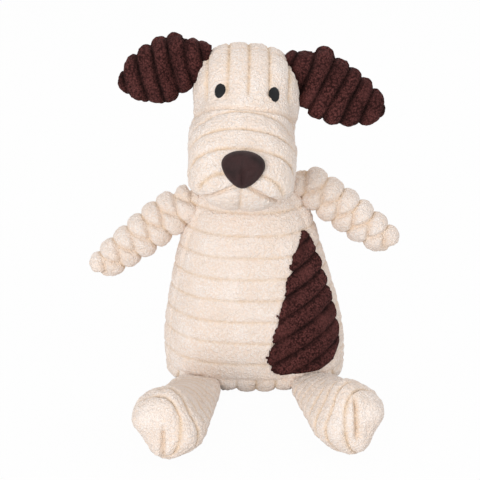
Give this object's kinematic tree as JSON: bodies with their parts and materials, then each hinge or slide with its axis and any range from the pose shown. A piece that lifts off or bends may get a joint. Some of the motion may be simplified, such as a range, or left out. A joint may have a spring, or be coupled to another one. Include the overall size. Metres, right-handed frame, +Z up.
{
  "type": "squeaky plush dog toy",
  "caption": "Sitting stuffed dog of wide-wale plush corduroy with a press-in belly over a squeaker, flopping ears, and arms, legs and head on sewn joints.",
  "frame": {"origin": "centre of the flat underside of the base panel that the dog sits on", "axes": "+Z up through the head, the dog looks along -Y, and its own left side is +X"},
  "size_m": [0.2246, 0.1945, 0.2524],
  "materials": {
    "cream_corduroy": "matte cream plush corduroy, 14 mm wale",
    "brown_corduroy": "matte dark brown plush corduroy, 11 mm wale",
    "nose_fabric": "smooth short-pile dark brown cloth",
    "eye_fabric": "black stitched ovals",
    "fibre_fill": "loose white polyester fibre",
    "squeaker_plastic": "soft translucent white plastic"
  },
  "bodies": {
    "torso": {"torso_back_panel": "cream_corduroy", "base_panel": "cream_corduroy", "torso_front_fill": "fibre_fill", "torso_back_fill": "fibre_fill", "squeaker_bulb": "squeaker_plastic", "squeaker_plug": "squeaker_plastic"},
    "belly": {"torso_front_panel": "cream_corduroy", "belly_patch": "brown_corduroy"},
    "reed": {"squeaker_reed": "squeaker_plastic"},
    "neck": {"neck_collar": "cream_corduroy"},
    "head": {"forehead_panel": "cream_corduroy", "muzzle_panel": "cream_corduroy", "chin_panel": "cream_corduroy", "head_back_panel": "cream_corduroy", "head_fill": "fibre_fill", "nose": "nose_fabric", "left_eye": "eye_fabric", "right_eye": "eye_fabric"},
    "left_ear": {"left_ear_front_panel": "brown_corduroy", "left_ear_back_panel": "brown_corduroy"},
    "left_arm": {"left_arm_upper_panel": "cream_corduroy", "left_arm_lower_panel": "cream_corduroy", "left_arm_fill": "fibre_fill"},
    "left_leg": {"left_leg_outer_panel": "cream_corduroy", "left_leg_inner_panel": "cream_corduroy", "left_leg_fill": "fibre_fill"},
    "right_ear": {"right_ear_front_panel": "brown_corduroy", "right_ear_back_panel": "brown_corduroy"},
    "right_arm": {"right_arm_upper_panel": "cream_corduroy", "right_arm_lower_panel": "cream_corduroy", "right_arm_fill": "fibre_fill"},
    "right_leg": {"right_leg_outer_panel": "cream_corduroy", "right_leg_inner_panel": "cream_corduroy", "right_leg_fill": "fibre_fill"}
  },
  "joints": [
    {"name": "belly_press", "type": "slide", "parent": "torso", "child": "belly", "axis": [0, 1, 0], "range_m": [0, 0.012], "stiffness_N_per_m": 400, "deforming": ["torso_front_fill", "squeaker_bulb"]},
    {"name": "reed_flutter", "type": "hinge", "parent": "torso", "child": "reed", "pos_m": [-0.0021, 0.0237, 0.07], "axis": [1, 0, 0], "range_deg": [-3, 3]},
    {"name": "neck_turn", "type": "hinge", "parent": "torso", "child": "neck", "pos_m": [-0.011, 0.0135, 0.157], "axis": [0, 0, 1], "range_deg": [-25, 25], "stiffness_Nm_per_rad": 0.15},
    {"name": "head_nod", "type": "hinge", "parent": "neck", "child": "head", "pos_m": [-0.011, 0.0135, 0.157], "axis": [1, 0, 0], "range_deg": [-15, 8], "stiffness_Nm_per_rad": 0.3, "springref_deg": -2.29},
    {"name": "left_ear_flap", "type": "hinge", "parent": "head", "child": "left_ear", "pos_m": [0.03266, 0.0005, 0.22141], "axis": [-0.1971, 0, 0.9804], "range_deg": [-75, 30], "stiffness_Nm_per_rad": 0.004},
    {"name": "left_arm_swing", "type": "hinge", "parent": "torso", "child": "left_arm", "pos_m": [0.05097, 0.01156, 0.13442], "axis": [0, 0, 1], "range_deg": [-60, 30]},
    {"name": "left_leg_lift", "type": "hinge", "parent": "torso", "child": "left_leg", "pos_m": [0.0425, -0.04455, 0.0088], "axis": [1, 0, 0], "range_deg": [-40, 0]},
    {"name": "right_ear_flap", "type": "hinge", "parent": "head", "child": "right_ear", "pos_m": [-0.04446, 0.0005, 0.22906], "axis": [0.3809, 0, 0.9246], "range_deg": [-30, 75], "stiffness_Nm_per_rad": 0.004},
    {"name": "right_arm_swing", "type": "hinge", "parent": "torso", "child": "right_arm", "pos_m": [-0.06274, 0.01075, 0.12432], "axis": [0, 0, 1], "range_deg": [-30, 60]},
    {"name": "right_leg_lift", "type": "hinge", "parent": "torso", "child": "right_leg", "pos_m": [-0.0425, -0.04483, 0.0088], "axis": [1, 0, 0], "range_deg": [-40, 0]}
  ]
}
